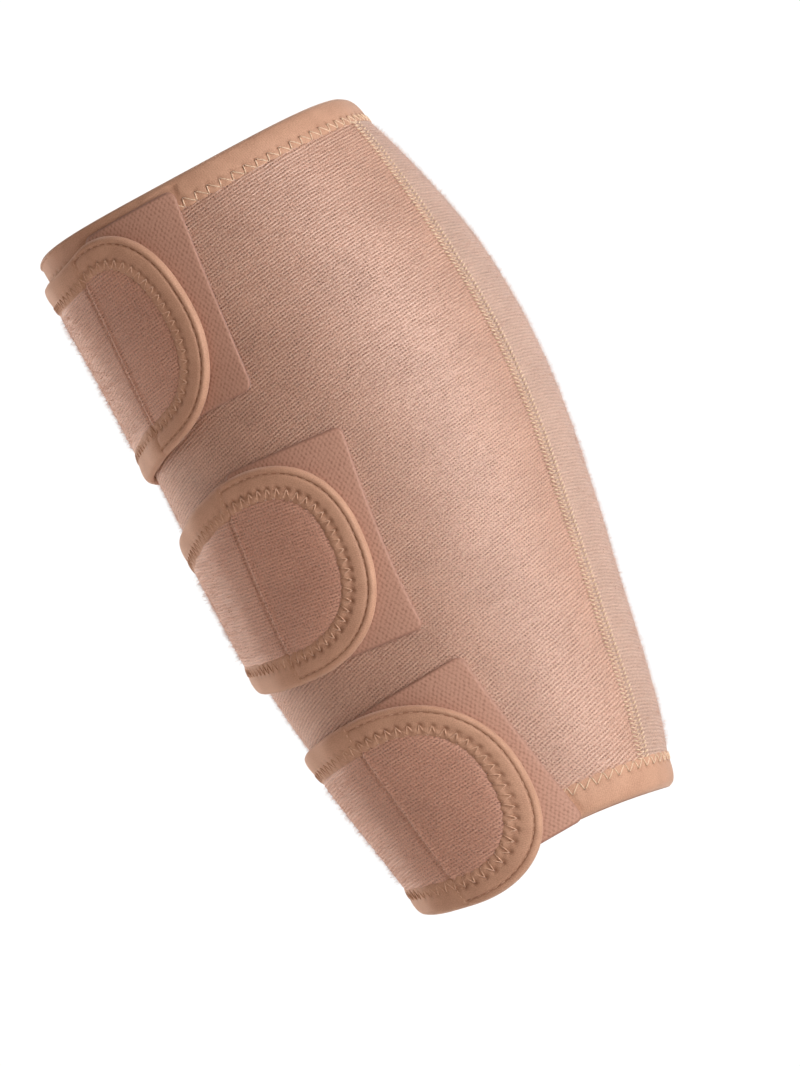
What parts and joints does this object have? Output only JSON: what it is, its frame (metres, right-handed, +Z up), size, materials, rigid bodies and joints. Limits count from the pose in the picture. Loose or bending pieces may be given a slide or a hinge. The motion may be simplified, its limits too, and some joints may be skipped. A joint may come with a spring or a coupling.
{
  "type": "calf support",
  "caption": "Wrap-round neoprene calf support with taped rims, flat seams and round-ended tabs that close over the shin on hook patches.",
  "frame": {"origin": "on the leg's axis, half way up the support, where the leg holds it", "axes": "+Z up the leg towards the knee, +X towards the back of the calf, -Y towards the side that the tabs close on"},
  "size_m": [0.1359, 0.1266, 0.2542],
  "materials": {
    "knit_neoprene": "beige knit loop face on neoprene foam, matt with a short nap",
    "binding_tape": "tan stretch tape, folded over the edge and stitched",
    "hook_tape": "beige moulded hook tape, slightly satin"
  },
  "bodies": {
    "root": {"shin_panel": "knit_neoprene", "calf_panel": "knit_neoprene", "tab_panel": "knit_neoprene", "top_binding": "binding_tape", "bottom_binding": "binding_tape", "tab_binding_top": "binding_tape", "tab_binding_middle": "binding_tape", "tab_binding_bottom": "binding_tape", "hook_patch_top": "hook_tape", "hook_patch_middle": "hook_tape", "hook_patch_bottom": "hook_tape"}
  },
  "joints": []
}
